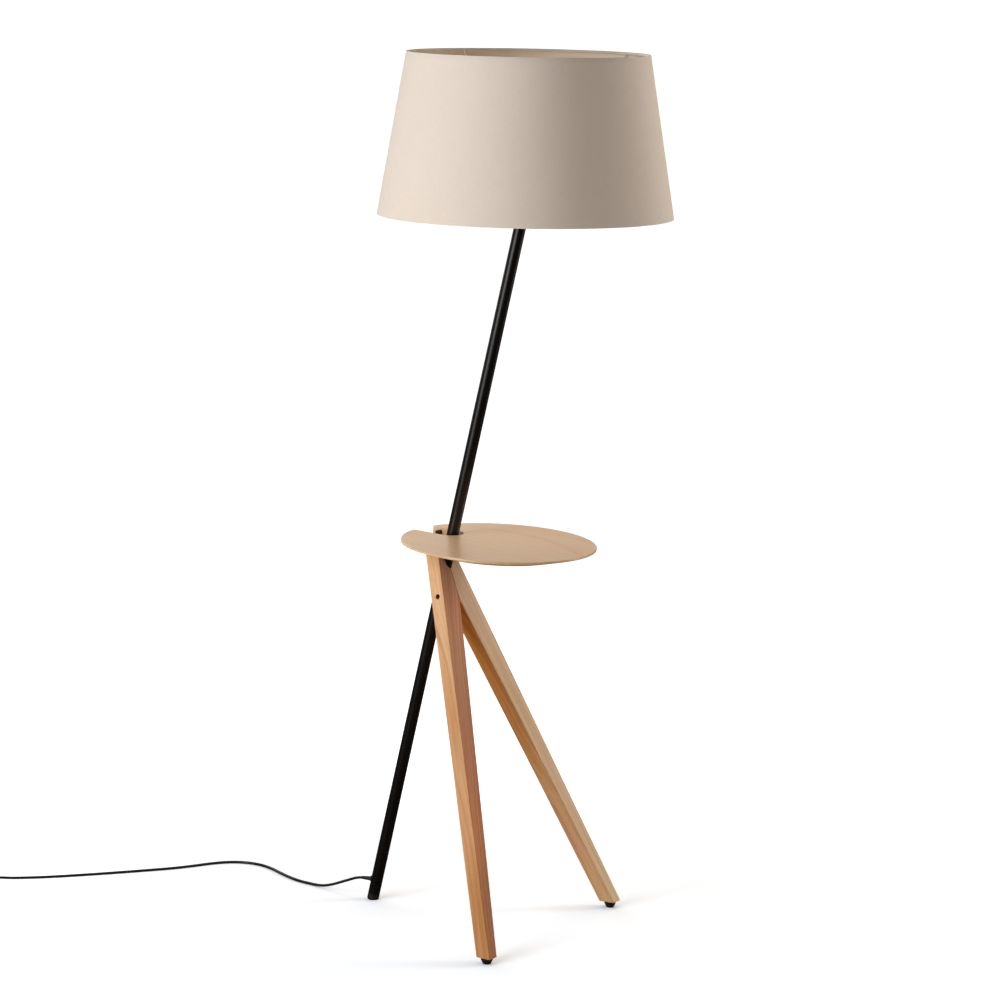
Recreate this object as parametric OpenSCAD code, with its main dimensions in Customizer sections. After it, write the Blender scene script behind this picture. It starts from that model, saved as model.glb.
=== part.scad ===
// Leaning floor lamp with a round side table.
// Millimetres, +Z up, the floor is z = 0. The lengths below are laid out from the
// point where the pole's axis meets the floor; the last step moves the lamp so that
// the origin is under the middle of its outline.

/* [Pole] */
// Lean of the pole from the vertical, in degrees
pole_lean = 13; // [12:0.25:14]
// Outside diameter of the steel pole
pole_d = 21; // [20:0.5:22]
// Wall thickness of the steel pole
pole_wall = 1.5; // [1:0.25:2]
// Height of the cord's exit above the floor
cord_exit_z = 36.8; // [32:0.4:44]

/* [Legs] */
// Rake of the two-leg frame from the vertical, in degrees
leg_rake = 20.8; // [20:0.2:21.4]
// Distance from the pole's foot to the legs' front face, at the floor
leg_reach = 389; // [385:1:393]
// Thickness of the leg timber
leg_t = 26.5; // [24:0.5:28]
// Half spread of the outer edges at the floor
leg_out = 222; // [216:1:228]
// Half spread of the inner edges at the floor
leg_in = 199; // [193:1:203]
// Height at which the inner edges meet
crotch_z = 565; // [555:1:570]
// Half width over both legs at that height
crotch_out = 49.5; // [48:0.5:54]
// Height of the legs' lower cut above the floor
leg_gap = 11; // [10:0.5:12]
// Height of the legs' upper cut
leg_top = 671; // [664:0.5:672]

/* [Table] */
// Diameter of the tabletop
table_d = 336; // [320:2:350]
// Thickness of the tabletop
table_t = 16; // [15:0.5:18]
// Thickness left at the tabletop's rim
rim_t = 4; // [2.5:0.1:5]
// Width of the bevel under the rim
bevel_w = 46; // [30:1:50]
// Height of the tabletop's upper face where the pole passes
table_z = 681; // [676:0.5:682]
// Droop of the tabletop towards its free side, in degrees
table_droop = 2; // [0:0.25:2.5]
// Turn of the tabletop about the pole, in degrees
table_turn = -4.6; // [-5:0.2:0]
// Distance from the pole to the tabletop's centre
table_off = 99.5; // [96:0.5:102]
// Width of the slot in the tabletop
slot_w = 50; // [48:1:54]

/* [Shade] */
// Outside diameter of the shade's lower rim
shade_d = 500; // [460:2:520]
// Outside diameter of the shade's upper rim
shade_top_d = 409; // [400:1:420]
// Height of the shade
shade_h = 272; // [266:1:280]
// Height of the shade's lower rim above the floor
shade_z = 1238; // [1232:1:1242]
// Distance from the pole's foot to the shade's axis
shade_x = 291.5; // [290:0.5:293]

/* [Cord] */
// Diameter of the mains cord
cord_d = 5; // [4.6:0.1:5.4]

/* [Hidden] */

$fn = 96;
e = 0.05;                         // clearance between touching pieces
x_mid = 265.9;                    // middle of the lamp's outline, from the pole's foot

// pole
pr = pole_d / 2;
pi_r = pr - pole_wall;
elbow_z = shade_x / tan(pole_lean);
elbow_a = shade_x / sin(pole_lean);
tube_a0 = 12;
tube_a1 = elbow_a - 26;

// legs: how the outer and inner edges close in with height
out_k = (leg_out - crotch_out) / crotch_z;
in_k = leg_in / crotch_z;
function out_at(z) = leg_out - out_k * z;
function front_at(z) = leg_reach - tan(leg_rake) * z;
bolt_z = 576;
bolt_x = front_at(bolt_z) - leg_t / cos(leg_rake) / 2 + 1;
bolt_r = 2.5;
bolt_head_r = 4.1;
// glides, under the middle of each leg's foot
glide_x = 371;
glide_y = 205;

// table
tr = table_d / 2;
sl = slot_w / 2;
slot_end = 17.5;                  // slot's round end, past the pole's axis

// head: heights up the shade's axis
hz = elbow_z + 16;                // top of the elbow
cap_z = hz + 3.2;                 // under side of the lampholder's cap
body_z = cap_z + 24;
seat_z = body_z + 11;             // shoulder that carries the shade
bulb_z = body_z + 10.5;           // tip of the bulb's contact

// cord route on the floor, from the pole to the foot switch
fz = 2.6;
LEAD = [[-23, 0, 35.4], [-36, 0, 32.6], [-50, 0, 27.2], [-70, 0.5, 18.8], [-90, 1.5, 10.8],
        [-110, 3.5, 5], [-132, 6, fz], [-165, 9, fz], [-195, 18, fz], [-225, 31, fz],
        [-255, 45, fz], [-285, 53, fz], [-314, 51, fz], [-341, 37, fz], [-363, 11, fz],
        [-381, -22, fz], [-402, -57, fz], [-430, -94, fz], [-465, -138, fz],
        [-505, -186, fz], [-550, -236, fz], [-590, -277, 3.6], [-610, -297, 5.4], [-623, -310, 6]];
switch_at = [-642, -329];
TAIL = [[-661, -348, 6], [-665, -352, 5], [-669, -356, 4.1], [-673, -360, 3.5]];
coil_at = [-707, -346];
coil_r = 29;                      // middle of the turns
PLUGLEAD = [[-741, -334, 8.4], [-741, -326, 7.8], [-741, -319, 6.9]];
plug_at = [-741, -318.9];

// ---- helpers ----
module row() { translate([-x_mid, 0, 0]) children(); }
module on_pole() { rotate([0, pole_lean, 0]) children(); }
// frame of the two legs: x across, y up the rake, z out of the front face
module on_legs() { translate([leg_reach, 0, 0]) rotate([0, -leg_rake, 0]) rotate([90, 0, 90]) children(); }
// frame of the table: origin where the pole's axis meets its upper face
module on_table() {
  translate([table_z * tan(pole_lean), 0, table_z])
    rotate([0, table_droop, 0]) rotate([0, 0, table_turn]) children();
}
module on_axis() { translate([shade_x, 0, 0]) children(); }
module pipe(ro, ri, h) { difference() { cylinder(r = ro, h = h); translate([0, 0, -1]) cylinder(r = ri, h = h + 2); } }
module ring(R, r) { rotate_extrude() translate([R, 0]) circle(r = r, $fn = 24); }
module along_y(x, z, y0, y1, r) { translate([x, y0, z]) rotate([-90, 0, 0]) cylinder(r = r, h = y1 - y0, $fn = 48); }
exit_z = cord_exit_z + 0.75;      // where the exit's axis crosses the pole's
module exit_axis() { translate([exit_z * tan(pole_lean), 0, exit_z]) rotate([0, -94, 0]) children(); }

// smooth curve through a list of points
function cr(p0, p1, p2, p3, t) = 0.5 * (2 * p1 + (p2 - p0) * t + (2 * p0 - 5 * p1 + 4 * p2 - p3) * t * t
                                 + (3 * p1 - p0 - 3 * p2 + p3) * t * t * t);
function at(P, i) = P[max(0, min(len(P) - 1, i))];
function up(p) = [p[0], p[1], max(p[2], fz)];
function smooth(P, n) = [for (i = [0 : len(P) - 2]) for (k = [0 : n - 1])
                           up(cr(at(P, i - 1), P[i], P[i + 1], at(P, i + 2), k / n)), P[len(P) - 1]];
function unit(v) = v / norm(v);
function sweep_pts(C, r, s, side) = [for (i = [0 : len(C) - 1])
    let (t = unit(at(C, i + 1) - at(C, i - 1)), a = side == undef ? unit(cross(t, [0, 0, 1])) : side, b = cross(a, t))
    for (k = [0 : s - 1]) C[i] + r * (cos(360 * k / s) * a + sin(360 * k / s) * b)];
module swept(P, n, r, s, side) {
  C = smooth(P, n);
  m = len(C);
  polyhedron(points = sweep_pts(C, r, s, side), convexity = 6,
    faces = concat([[for (k = [0 : s - 1]) s - 1 - k]], [[for (k = [0 : s - 1]) (m - 1) * s + k]],
      [for (i = [0 : m - 2]) for (k = [0 : s - 1]) [i * s + k, i * s + (k + 1) % s, (i + 1) * s + (k + 1) % s]],
      [for (i = [0 : m - 2]) for (k = [0 : s - 1]) [i * s + k, (i + 1) * s + (k + 1) % s, (i + 1) * s + k]]));
}

// ---- pole ----
module pole_tube() {
  color([0.06, 0.06, 0.06]) row() difference() {
    on_pole() translate([0, 0, tube_a0]) pipe(pr, pi_r, tube_a1 - tube_a0);
    exit_axis() cylinder(r = 4.1, h = 30, $fn = 48);
  }
}
module pole_foot_cap() {
  color([0.08, 0.08, 0.08]) row() intersection() {
    on_pole() union() {
      translate([0, 0, 3]) ring(pr - 5, 5);
      translate([0, 0, 3]) cylinder(r = pr, h = tube_a0 - 3);
      translate([0, 0, -2]) cylinder(r = pr - 5, h = 6);
      translate([0, 0, tube_a0 - 1]) cylinder(r = pi_r - e, h = 13);
    }
    translate([-60, -60, 0]) cube([120, 120, 80]);
  }
}
// the bend at the top: a spigot in the tube's end, and two lengths mitred to stand upright
bend_r = 60;                      // the cable's own bend inside it
bend_t = bend_r * tan(pole_lean / 2);
module mitre_side(up) {
  translate([shade_x, 0, elbow_z]) rotate([0, pole_lean / 2, 0]) translate([-50, -50, up ? 0 : -50]) cube([100, 100, 50]);
}
module pole_top_elbow() {
  color([0.06, 0.06, 0.06]) row() difference() {
    union() {
      on_pole() translate([0, 0, tube_a1 - 24]) cylinder(r = pi_r - e, h = 30);
      difference() {
        on_pole() translate([0, 0, tube_a1]) cylinder(r = pr, h = elbow_a - tube_a1 + 10);
        mitre_side(true);
      }
      difference() {
        translate([shade_x, 0, elbow_z - 10]) cylinder(r = pr, h = 26);
        mitre_side(false);
      }
    }
    on_pole() translate([0, 0, tube_a1 - 26]) cylinder(r = 3, h = elbow_a - tube_a1 + 26);
    translate([shade_x, 0, elbow_z]) sphere(r = 4.2);
    translate([shade_x, 0, elbow_z]) cylinder(r = 3, h = 10);
    translate([shade_x, 0, elbow_z + bend_t]) cylinder(r = 5 + e, h = 20);
  }
}
// the cable inside: in along the exit's axis, round into the pole, up it and through the elbow
cable_r = 2.3;
turn_in = 86 - pole_lean;         // how far the cable turns just inside the exit
turn_r = 5;
turn_t = turn_r * tan(turn_in / 2);
function arc(c, v, w, R, a, n) = [for (k = [0 : n]) c + R * (cos(a * k / n) * v + sin(a * k / n) * w)];
module inner_cable() {
  d = [-sin(94), 0, cos(94)];     // out of the exit
  w = [cos(94), 0, sin(94)];      // square to it, upwards
  u = [sin(pole_lean), 0, cos(pole_lean)];
  v = [cos(pole_lean), 0, -sin(pole_lean)];
  c = [exit_z * tan(pole_lean), 0, exit_z];
  top = [shade_x, 0, elbow_z];
  C = concat([c + 6.95 * d, c + (turn_t + 0.8) * d],
             arc(c + turn_t * d + turn_r * w, -w, -d, turn_r, turn_in, 6),
             [c + (turn_t + 0.8) * u, top - (bend_t + 3) * u],
             arc([shade_x - bend_r, 0, elbow_z + bend_t], v, [sin(pole_lean), 0, cos(pole_lean)], bend_r, pole_lean, 4),
             [[shade_x, 0, elbow_z + bend_t + 3], [shade_x, 0, body_z - 1]]);
  color([0.85, 0.85, 0.82]) row() swept(C, 1, cable_r, 12, [0, 1, 0]);
}
module cord_grommet() {
  color([0.05, 0.05, 0.05]) row() union() {
    exit_axis() translate([0, 0, 7]) cylinder(r = 4 - e, h = 5.2, $fn = 48);
    difference() {
      exit_axis() translate([0, 0, 8]) cylinder(r = 5.4, h = 4.2, $fn = 48);
      on_pole() cylinder(r = pr + e, h = 80);
    }
  }
}
module cord_strain_relief() {
  color([0.05, 0.05, 0.05]) row() exit_axis() translate([0, 0, 12.2]) cylinder(r1 = 3.9, r2 = cord_d / 2 + 0.4, h = 19.5, $fn = 48);
}

// ---- legs ----
// q is the length up the rake of the front face
function q(z) = z / cos(leg_rake);
module leg_outline() {
  polygon([[-leg_out, 0], [-leg_in, 0], [0, q(crotch_z)], [0, q(leg_top + 20)],
           [-out_at(leg_top + 20), q(leg_top + 20)]]);
}
module leg_bar() {
  difference() {
    on_legs() translate([0, 0, -leg_t]) linear_extrude(leg_t) leg_outline();
    translate([200, -300, -60]) cube([260, 320, 60 + leg_gap]);
    translate([0, -60, leg_top]) cube([300, 120, 60]);
    on_pole() translate([0, 0, 560]) cylinder(r = pr + e, h = 160);
    // dowel holes across the joint
    along_y(front_at(603) - 5, 603, -12.5, 1, 3 + e);
    along_y(front_at(642) - 21, 642, -12.5, 1, 3 + e);
    // bracket screw
    on_legs() translate([-17.5, q(650), -22]) cylinder(r = 1.75 + e, h = 30, $fn = 32);
    // glide insert
    translate([glide_x, -glide_y, 0]) cylinder(r = 5 + e, h = 25 + e, $fn = 48);
    translate([glide_x, -glide_y, 0]) cylinder(r = 4 + e, h = 29, $fn = 48);
  }
}
module near_leg() {
  color([0.86, 0.68, 0.5]) row() difference() {
    leg_bar();
    along_y(bolt_x, bolt_z, -80, 1, bolt_r + 0.1);
    along_y(bolt_x, bolt_z, -80, -32, bolt_head_r + 0.3);
  }
}
module far_leg() {
  color([0.86, 0.68, 0.5]) row() mirror([0, 1, 0]) difference() {
    leg_bar();
    along_y(bolt_x, bolt_z, -80, 1, bolt_r + 0.1);
    along_y(bolt_x, bolt_z, -80, -24, bolt_head_r + 0.05);
  }
}
module leg_dowels() {
  color([0.8, 0.65, 0.45]) row() {
    along_y(front_at(603) - 5, 603, -12, 12, 3);
    along_y(front_at(642) - 21, 642, -12, 12, 3);
  }
}
module leg_bolt() {
  color([0.3, 0.2, 0.16]) row() difference() {
    union() {
      along_y(bolt_x, bolt_z, -32.5, 32, bolt_r);
      along_y(bolt_x, bolt_z, -37, -32, bolt_head_r);
    }
    translate([bolt_x, -38, bolt_z]) rotate([-90, 0, 0]) cylinder(r = 4 / sqrt(3), h = 3.4, $fn = 6);
  }
}
module leg_bolt_nut() {
  color([0.3, 0.2, 0.16]) row() difference() {
    along_y(bolt_x, bolt_z, 24, 37, bolt_head_r);
    along_y(bolt_x, bolt_z, 23, 33, bolt_r + e);
    translate([bolt_x - 0.6, 35.6, bolt_z - 5]) cube([1.2, 2, 10]);
  }
}

// ---- glides ----
module both_sides() { children(); mirror([0, 1, 0]) children(); }
module glide_inserts() {
  color([0.75, 0.6, 0.3]) row() both_sides()
    translate([glide_x, -glide_y, leg_gap]) pipe(5, 4 + e, 14);
}
module glide_stud(s) {
  color([0.6, 0.6, 0.6]) row() translate([glide_x, s * glide_y, 0]) union() {
    translate([0, 0, 5]) cylinder(r = 4, h = 20, $fn = 48);
    translate([0, 0, 5]) cylinder(r = 6, h = 1.5, $fn = 48);
  }
}
module glide_pad(s) {
  color([0.07, 0.06, 0.06]) row() translate([glide_x, s * glide_y, 0]) difference() {
    union() {
      translate([0, 0, 1.2]) cylinder(r1 = 7.2, r2 = 10.2, h = 6.2);
      cylinder(r1 = 6.2, r2 = 7.2, h = 1.2);
      translate([0, 0, 7.4]) cylinder(r = 10.2, h = 0.8);
    }
    translate([0, 0, 4.95]) cylinder(r = 4 + e, h = 10, $fn = 48);
    translate([0, 0, 4.95]) cylinder(r = 6 + e, h = 1.6, $fn = 48);
  }
}
module near_glide_stud() { glide_stud(-1); }
module far_glide_stud() { glide_stud(1); }
module near_glide_pad() { glide_pad(-1); }
module far_glide_pad() { glide_pad(1); }

// ---- table ----
wood_screw_at = [[44, -36], [44, 36], [96, -36], [96, 36]];
module board_blank() {
  translate([table_off, 0, 0]) rotate_extrude($fn = 180)
    polygon([[0, 0], [tr - 1, 0], [tr, -1], [tr, -rim_t + 0.6], [tr - 0.6, -rim_t],
             [tr - bevel_w, -table_t], [0, -table_t]]);
  // beside the slot the board keeps its full thickness out to the rim
  translate([0, 0, -table_t]) linear_extrude(table_t - 2) intersection() {
    translate([table_off, 0]) circle(r = tr - 1.2, $fn = 180);
    translate([-120, -sl - 14]) square([120, slot_w + 28]);
  }
}
module slot_shape() {
  translate([slot_end - sl, 0]) circle(r = sl);
  translate([-120, -sl]) square([120 + slot_end - sl, slot_w]);
  // rounded corners of the mouth
  fx = table_off - sqrt(pow(tr - 6, 2) - pow(sl + 6, 2));
  for (s = [-1, 1]) scale([1, s]) difference() {
    polygon([[fx - 16, sl - 1], [fx, sl - 1], [fx, sl + 6],
             [table_off - (table_off - fx) * tr / (tr - 6), (sl + 6) * tr / (tr - 6)], [fx - 16, sl + 10]]);
    translate([fx, sl + 6]) circle(r = 6, $fn = 48);
  }
}
module wall_hole(s) { translate([-46, s * (sl + 6), -8]) rotate([s * 90, 0, 0]) cylinder(r = 4 + e, h = 12, $fn = 48); }
module tabletop() {
  color([0.84, 0.72, 0.6]) row() on_table() difference() {
    board_blank();
    translate([0, 0, -30]) linear_extrude(60) slot_shape();
    for (p = wood_screw_at) translate([p[0], p[1], -table_t - 1]) cylinder(r = 2 + e, h = 13, $fn = 32);
    wall_hole(1);
    wall_hole(-1);
  }
}
module table_bracket() {
  color([0.08, 0.08, 0.08]) row() difference() {
    union() {
      // plate under the board
      on_table() translate([0, 0, -table_t - 3]) linear_extrude(3 - 0.02) difference() {
        union() {
          translate([-26, -36]) square([70, 72]);
          translate([40, -46]) square([64, 92]);
        }
        translate([70, 0]) circle(r = 22);
      }
      // collar round the pole, standing in the slot
      intersection() {
        on_pole() translate([0, 0, 640]) cylinder(r = pr + 3.6, h = 80);
        on_table() translate([-40, -40, -table_t - 1]) cube([80, 80, 9]);
      }
      // tabs down the legs' front face
      on_legs() for (s = [-1, 1]) translate([s * 17.5 - 5, q(641), e]) cube([10, 24, 3]);
    }
    on_pole() translate([0, 0, 600]) cylinder(r = pr + e, h = 140);
    on_legs() translate([-80, q(600), -80]) cube([160, 200, 80 + e]);
    on_legs() for (s = [-1, 1]) translate([s * 17.5, q(650), -1]) cylinder(r = 1.85, h = 10, $fn = 32);
    on_table() for (p = wood_screw_at) translate([p[0], p[1], -table_t - 5]) cylinder(r = 2 + 0.1, h = 8, $fn = 32);
    grub(2.02);
    // everything above the board's upper face stays clear
    on_table() translate([-60, -60, -7]) cube([120, 120, 20]);
  }
}
// two set screws through the collar, at right angles to the pole
module grub(r) {
  for (s = [-1, 1]) on_pole() translate([0, 0, (table_z - 11.5) / cos(pole_lean)]) rotate([0, 0, s * 90])
    rotate([0, 90, 0]) translate([0, 0, pr + 0.1]) cylinder(r = r, h = 5, $fn = 32);
}
module bracket_grub_screws() {
  color([0.35, 0.35, 0.36]) row() difference() {
    grub(2);
    for (s = [-1, 1]) on_pole() translate([0, 0, (table_z - 11.5) / cos(pole_lean)]) rotate([0, 0, s * 90])
      rotate([0, 90, 0]) translate([0, 0, pr + 3.2]) cylinder(r = 1.1, h = 4, $fn = 6);
  }
}
module table_wood_screws() {
  color([0.55, 0.55, 0.56]) row() on_table() for (p = wood_screw_at) translate([p[0], p[1], -table_t - 3]) difference() {
    union() {
      translate([0, 0, -2.4]) cylinder(r1 = 3, r2 = 4, h = 2.38, $fn = 32);
      translate([0, 0, -0.5]) cylinder(r = 2, h = 14.5, $fn = 32);
    }
    translate([0, 0, -3]) cylinder(r = 1.6, h = 1.8, $fn = 6);
  }
}
module bracket_leg_screws() {
  color([0.2, 0.2, 0.2]) row() on_legs() for (s = [-1, 1]) translate([s * 17.5, q(650), 0]) difference() {
    union() {
      translate([0, 0, -21.5]) cylinder(r = 1.75, h = 23, $fn = 32);
      translate([0, 0, 3 + 2 * e]) cylinder(r1 = 3.5, r2 = 2.6, h = 1.8, $fn = 32);
      translate([0, 0, 1]) cylinder(r = 1.75, h = 2.5, $fn = 32);
    }
    translate([0, 0, 3.8]) cylinder(r = 1.3, h = 2, $fn = 6);
  }
}
// black stand-offs in the slot's walls, bearing on the legs' tops
module slot_spacers() {
  color([0.12, 0.09, 0.07]) row() difference() {
    on_table() for (s = [-1, 1])
      translate([-46, s * (sl + 5.8), -8]) rotate([s * 90, 0, 0]) cylinder(r = 4, h = s < 0 ? 9 : 16.5, $fn = 48);
    translate([60, -out_at(leg_top - 6) - 0.2, 600]) cube([120, 2 * out_at(leg_top - 6) + 0.4, 100]);
  }
}

// ---- lampholder ----
module lampholder_nipple() {
  color([0.75, 0.62, 0.35]) row() on_axis() translate([0, 0, elbow_z + bend_t + 0.2]) pipe(5, 3.05, cap_z + 6 - elbow_z - bend_t);
}
module nipple_locknut() {
  color([0.75, 0.62, 0.35]) row() on_axis() translate([0, 0, hz + e]) difference() {
    cylinder(r = 8, h = 3, $fn = 6);
    translate([0, 0, -1]) cylinder(r = 5 + e, h = 6, $fn = 48);
  }
}
module lampholder_cap() {
  color([0.05, 0.05, 0.05]) row() on_axis() rotate_extrude()
    polygon([[5 + e, cap_z], [12, cap_z], [19.4, cap_z + 7], [19.4, body_z - e], [17.4, body_z - e],
             [17.4, cap_z + 8], [11.2, cap_z + 2], [8, cap_z + 2], [8, cap_z + 6.5], [5 + e, cap_z + 6.5]]);
}
module lampholder_body() {
  color([0.05, 0.05, 0.05]) row() on_axis() difference() {
    union() {
      translate([0, 0, body_z]) cylinder(r = 19.4, h = 37);
      translate([0, 0, seat_z - 2.5]) cylinder(r = 23, h = 2.5);
    }
    translate([0, 0, body_z + 7]) cylinder(r = 14.3, h = 60);
    for (s = [-1, 1]) translate([s * 8, 0, body_z - 1]) cylinder(r = 2, h = 10, $fn = 24);
  }
}
module lampholder_thread() {
  color([0.8, 0.65, 0.3]) row() on_axis() translate([0, 0, body_z + 14]) pipe(14.25, 13.45, 22);
}
module lampholder_contact() {
  color([0.8, 0.65, 0.3]) row() on_axis() translate([0, 0, body_z + 7]) union() {
    translate([-7, -2, e]) cube([14, 4, 0.8]);
    cylinder(r = 2.6, h = 3.2, $fn = 32);
  }
}
module shade_ring() {
  color([0.06, 0.06, 0.06]) row() on_axis() translate([0, 0, seat_z + 2 + 2 * e]) difference() {
    union() {
      cylinder(r = 28, h = 2.5);
      cylinder(r = 23, h = 8);
    }
    translate([0, 0, -1]) cylinder(r = 19.4 + e, h = 12);
    for (k = [0 : 11]) rotate([0, 0, 30 * k]) translate([28.6, 0, -1]) cylinder(r = 1.6, h = 5, $fn = 24);
  }
}

// ---- shade ----
function shade_r(z) = (shade_d + (shade_top_d - shade_d) * (z - shade_z) / shade_h) / 2;
top_wire_z = shade_z + shade_h - 3;
low_wire_z = shade_z + 3;
module cone_band(z0, z1, in0, in1) {
  rotate_extrude($fn = 180) polygon([[shade_r(z0) - in0, z0], [shade_r(z1) - in0, z1], [shade_r(z1) - in1, z1], [shade_r(z0) - in1, z0]]);
}
module shade_fabric() { color([0.88, 0.82, 0.76]) row() on_axis() cone_band(shade_z, shade_z + shade_h, 0, 0.9); }
module shade_liner() { color([0.94, 0.92, 0.88]) row() on_axis() cone_band(shade_z + 0.5, shade_z + shade_h - 0.5, 0.95, 1.4); }
module shade_bottom_ring() {
  color([0.9, 0.9, 0.9]) row() on_axis() translate([0, 0, low_wire_z]) ring(shade_r(low_wire_z) - 3.3, 1.7);
}
module shade_top_ring() {
  color([0.9, 0.9, 0.9]) row() on_axis() translate([0, 0, top_wire_z]) ring(shade_r(top_wire_z) - 3.3, 1.7);
}
// fitter ring and four arms, which are welded to the upper rim wire
module shade_spider() {
  r0 = 29.5; z0 = seat_z + 1;
  r1 = shade_r(top_wire_z) - 3.3; z1 = top_wire_z;
  color([0.9, 0.9, 0.9]) row() on_axis() union() {
    translate([0, 0, seat_z + e]) pipe(31, 19.4 + 0.2, 2);
    for (k = [0 : 3]) rotate([0, 0, 65 + 90 * k]) translate([r0, 0, z0])
      rotate([0, atan2(r1 - r0, z1 - z0), 0]) cylinder(r = 1.6, h = norm([r1 - r0, z1 - z0]) - 1.75, $fn = 24);
  }
}

// ---- bulb ----
module bulb_contact() {
  color([0.7, 0.6, 0.35]) row() on_axis() translate([0, 0, bulb_z]) union() {
    cylinder(r1 = 3.6, r2 = 4.5, h = 0.8, $fn = 48);
    translate([0, 0, 0.8]) cylinder(r = 4.5, h = 1.2, $fn = 48);
  }
}
module bulb_screw_cap() {
  color([0.78, 0.78, 0.76]) row() on_axis() union() {
    translate([0, 0, bulb_z + 2.1]) cylinder(r1 = 8, r2 = 12, h = 3, $fn = 64);
    translate([0, 0, bulb_z + 5]) cylinder(r = 13.1, h = 20);
    translate([0, 0, bulb_z + 25]) cylinder(r1 = 13.1, r2 = 14, h = 3);
  }
}
module bulb_glass() {
  b = bulb_z + 28 + e;
  color([0.97, 0.97, 0.95]) row() on_axis() rotate_extrude() difference() {
    union() {
      translate([0, b + 50]) circle(r = 30);
      polygon([[0, b], [14.5, b], [16, b + 6], [20, b + 16], [25.2, b + 28], [29.1, b + 42.5], [0, b + 50]]);
    }
    translate([0, b + 50]) circle(r = 28.8);
    polygon([[0, b + 2], [13.3, b + 2], [14.8, b + 6], [18.8, b + 16.3], [24, b + 28.3], [27.9, b + 42.8], [0, b + 50]]);
    translate([-60, b - 10]) square([60, 120]);
  }
}

// ---- cord and what is on it ----
module cord_lead() { color([0.04, 0.04, 0.04]) row() swept(LEAD, 3, cord_d / 2, 8); }
module cord_tail() {
  color([0.04, 0.04, 0.04]) row() { swept(TAIL, 2, cord_d / 2, 8); swept(PLUGLEAD, 2, cord_d / 2, 8); }
}
module cord_coil() {
  color([0.04, 0.04, 0.04]) row() translate([coil_at[0], coil_at[1], 0.9]) rotate_extrude()
    translate([coil_r - 7.5, 0]) union() {
      translate([2.5, 0]) square([10, 10]);
      translate([0, 2.5]) square([15, 5]);
      for (p = [[2.5, 2.5], [12.5, 2.5], [2.5, 7.5], [12.5, 7.5]]) translate(p) circle(r = 2.5, $fn = 24);
    }
}
module coil_tie() {
  color([0.1, 0.1, 0.1]) row() translate([coil_at[0], coil_at[1], 0]) rotate([0, 0, 250]) difference() {
    translate([coil_r - 8.9, -4, 0.05]) cube([17.3, 8, 11.7]);
    translate([coil_r - 8.1, -5, 0.85]) cube([15.65, 10, 10.1]);
  }
}
module at_switch() { translate([switch_at[0], switch_at[1], 0]) rotate([0, 0, 45]) children(); }
module switch_base() {
  color([0.05, 0.05, 0.05]) row() at_switch() difference() {
    cylinder(r = 28, h = 9);
    translate([0, 0, 2]) cylinder(r = 26, h = 10);
    translate([-30, 0, 6]) rotate([0, 90, 0]) cylinder(r = cord_d / 2 + e, h = 60, $fn = 32);
    for (s = [-1, 1]) translate([0, s * 20, -1]) cylinder(r = 1.6, h = 5, $fn = 24);
    for (s = [-1, 1]) translate([0, s * 20, -1]) cylinder(r = 3, h = 2.2, $fn = 24);
  }
}
module switch_cover() {
  color([0.05, 0.05, 0.05]) row() at_switch() union() {
    rotate_extrude() polygon([[28, 9 + e], [28, 11], [26.5, 14], [23, 16.5], [15.4, 17.5], [15.4, 15.5],
                              [22.5, 14.6], [25, 12.6], [26, 9 + e]]);
    for (s = [-1, 1]) translate([0, s * 20, 2 + e]) difference() {
      cylinder(r = 3, h = 13.2, $fn = 32);
      translate([0, 0, -1]) cylinder(r = 1.3, h = 9, $fn = 24);
    }
  }
}
module switch_pedal() {
  color([0.12, 0.12, 0.12]) row() at_switch() rotate_extrude()
    polygon([[0, 12.4], [16.4, 12.4], [16.4, 15.1], [15, 15.1], [15, 19], [14.2, 20.3], [12, 21], [0, 21.6]]);
}
module switch_contacts() {
  color([0.8, 0.65, 0.3]) row() at_switch() union() {
    translate([-10, -8, 2 + e]) cube([20, 16, 1.2]);
    for (s = [-1, 1]) translate([-9, s * 5 - 2, 3]) cube([18, 4, 5]);
  }
}
module switch_screws() {
  color([0.6, 0.6, 0.6]) row() at_switch() for (s = [-1, 1]) translate([0, s * 20, 0]) difference() {
    union() {
      translate([0, 0, 0.2]) cylinder(r = 2.7, h = 0.9, $fn = 24);
      translate([0, 0, 0.9]) cylinder(r = 1.2, h = 7, $fn = 24);
    }
    translate([-3, -0.3, -0.2]) cube([6, 0.6, 0.8]);
  }
}
module at_plug() { translate([plug_at[0], plug_at[1], 6.9]) rotate([-90, 0, 0]) children(); }
module plug_body() {
  color([0.05, 0.05, 0.05]) row() at_plug() union() {
    cylinder(r1 = cord_d / 2 + 0.4, r2 = 4.6, h = 18.1, $fn = 48);
    translate([0, 0, 18]) linear_extrude(34) union() {
      translate([-10.8, -6.8]) square([21.6, 13.6]);
      for (s = [-1, 1]) translate([s * 10.8, 0]) circle(r = 6.8);
    }
  }
}
module plug_pins() {
  color([0.8, 0.8, 0.78]) row() at_plug() for (s = [-1, 1]) translate([s * 9.3, 0, 52 + e]) union() {
    cylinder(r = 2, h = 17.5, $fn = 32);
    translate([0, 0, 17.5]) cylinder(r1 = 2, r2 = 1.2, h = 1.5, $fn = 32);
  }
}

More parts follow.
